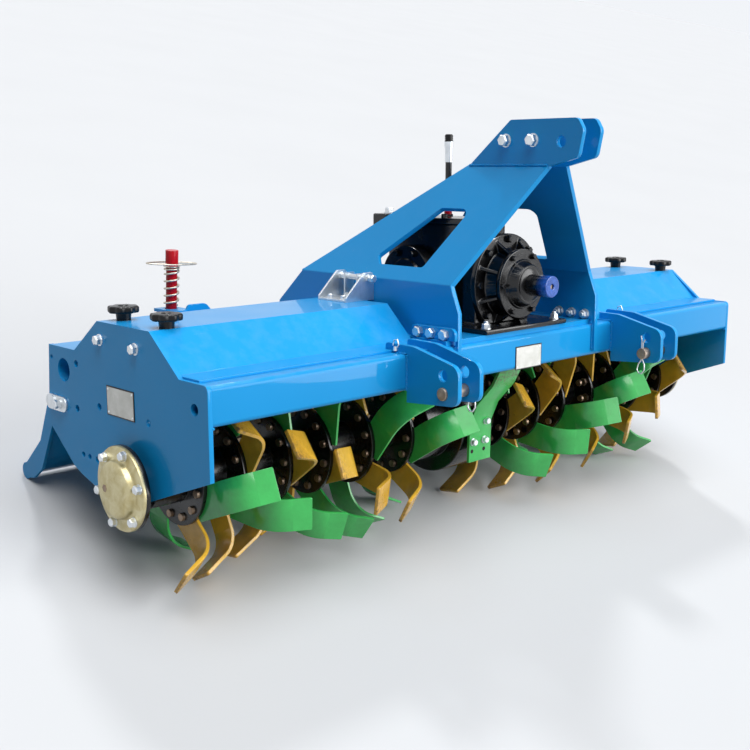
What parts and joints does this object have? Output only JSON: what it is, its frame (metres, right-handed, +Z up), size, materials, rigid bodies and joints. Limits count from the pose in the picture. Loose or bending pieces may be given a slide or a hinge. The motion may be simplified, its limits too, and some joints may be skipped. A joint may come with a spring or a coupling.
{
  "type": "rotary tiller",
  "caption": "Tractor-mounted rotary tiller: centre-driven rotor with curved tines and wide cross blades under a folded hood, hinged tailboard, three-point hitch mast.",
  "frame": {"origin": "on the floor under the middle of the part, as the machine parks on its rotor and tailboard", "axes": "+X to the machine's right-hand side as seen from above with the hitch towards -Y, +Y to the rear, +Z up"},
  "size_m": [1.974, 0.8678, 1.0568],
  "materials": {
    "blue_paint": "gloss powder coat",
    "yellow_paint": "gloss paint on forged steel",
    "green_paint": "gloss paint",
    "black_paint": "gloss black paint on cast iron and steel",
    "zinc_plate": "yellow passivated zinc",
    "bright_steel": "zinc plated",
    "blue_plastic": "moulded polythene",
    "black_plastic": "moulded nylon",
    "red_paint": "gloss paint"
  },
  "bodies": {
    "frame": {"side_plate_left": "blue_paint", "side_plate_right": "blue_paint", "front_beam": "blue_paint", "rear_tube": "blue_paint", "centre_plate": "blue_paint", "deck_left": "blue_paint", "deck_right": "blue_paint", "mast_left": "blue_paint", "mast_right": "blue_paint", "mast_bolts": "bright_steel", "mast_feet": "blue_paint", "hitch_plates_left": "blue_paint", "hitch_plates_right": "blue_paint", "hitch_pins": "bright_steel", "gearbox_housing": "black_paint", "gearbox_cover": "black_paint", "gearbox_side_covers": "black_paint", "drive_case": "black_paint", "case_guard": "green_paint", "breather_pipe": "black_paint", "bearing_flange_left": "black_paint", "bearing_cap_left": "zinc_plate", "bearing_flange_right": "black_paint", "bearing_cap_right": "zinc_plate", "hinge_links": "bright_steel", "rod_spring_left": "bright_steel", "rod_spring_right": "bright_steel", "rod_brackets": "blue_paint", "deck_knobs": "black_plastic", "hose_holder": "bright_steel"},
    "rotor": {"rotor_shaft_left": "black_paint", "rotor_shaft_right": "black_paint", "curved_tines_left": "yellow_paint", "curved_tines_right": "yellow_paint", "cross_blades_left": "green_paint", "cross_blades_right": "green_paint"},
    "input_shaft": {"input_shaft": "bright_steel", "shaft_cap": "blue_plastic"},
    "tailboard": {"tailboard_sheet": "blue_paint", "tailboard_wings": "blue_paint", "rod_lugs": "blue_paint"},
    "spring_rod_left": {"spring_rod_left": "red_paint"},
    "spring_rod_right": {"spring_rod_right": "red_paint"}
  },
  "joints": [
    {"name": "rotor_spin", "type": "hinge", "parent": "frame", "child": "rotor", "pos_m": [0, -0.07874, 0.23368], "axis": [1, 0, 0], "continuous": true},
    {"name": "input_spin", "type": "hinge", "parent": "frame", "child": "input_shaft", "pos_m": [0, -0.30182, 0.66751], "axis": [0, -0.9665, 0.2568], "continuous": true},
    {"name": "tailboard_hinge", "type": "hinge", "parent": "frame", "child": "tailboard", "pos_m": [0, 0.27203, 0.26877], "axis": [1, 0, 0], "range_deg": [-30, 0], "deforming": ["rod_spring_left", "rod_spring_right"]},
    {"name": "spring_rod_left_pivot", "type": "hinge", "parent": "tailboard", "child": "spring_rod_left", "pos_m": [-0.592, 0.32307, 0.2428], "axis": [1, 0, 0], "range_deg": [0, 26]},
    {"name": "spring_rod_right_pivot", "type": "hinge", "parent": "tailboard", "child": "spring_rod_right", "pos_m": [0.592, 0.32307, 0.2428], "axis": [1, 0, 0], "range_deg": [0, 26]}
  ],
  "couplings": [
    {"joint": "input_spin", "follows": "rotor_spin", "ratio": 2.45},
    {"joint": "spring_rod_left_pivot", "follows": "tailboard_hinge", "ratio": -0.866},
    {"joint": "spring_rod_right_pivot", "follows": "tailboard_hinge", "ratio": -0.866}
  ]
}
